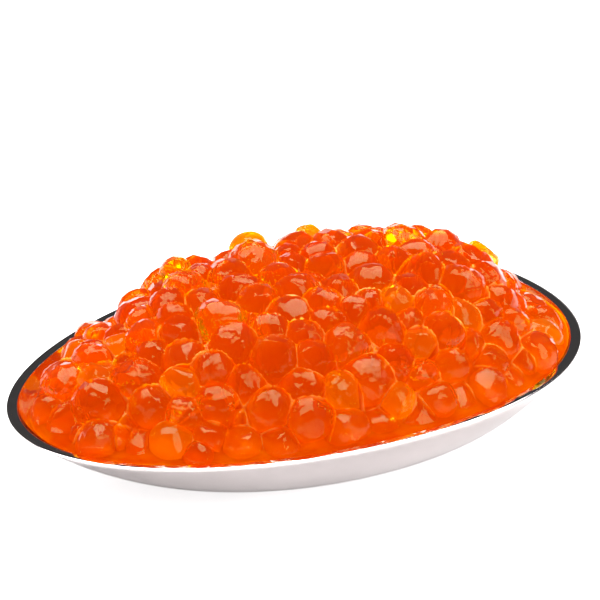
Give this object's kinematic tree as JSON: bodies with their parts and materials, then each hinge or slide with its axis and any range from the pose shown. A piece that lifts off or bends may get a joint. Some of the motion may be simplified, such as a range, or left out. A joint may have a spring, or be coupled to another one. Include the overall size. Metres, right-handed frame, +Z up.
{
  "type": "bowl of smoked trout roe",
  "caption": "Small shallow oval metal dish heaped with glossy orange smoked trout roe, standing on its flat foot.",
  "frame": {"origin": "on the table, under the middle of the rim's outline", "axes": "+X along the dish to its wider end, +Y across it to the back of the heap, +Z up"},
  "size_m": [0.072, 0.0496, 0.0231],
  "materials": {
    "metal": "mirror polished",
    "roe": "wet, glossy and translucent"
  },
  "bodies": {
    "root": {"dish": "metal", "roe": "roe"}
  },
  "joints": []
}
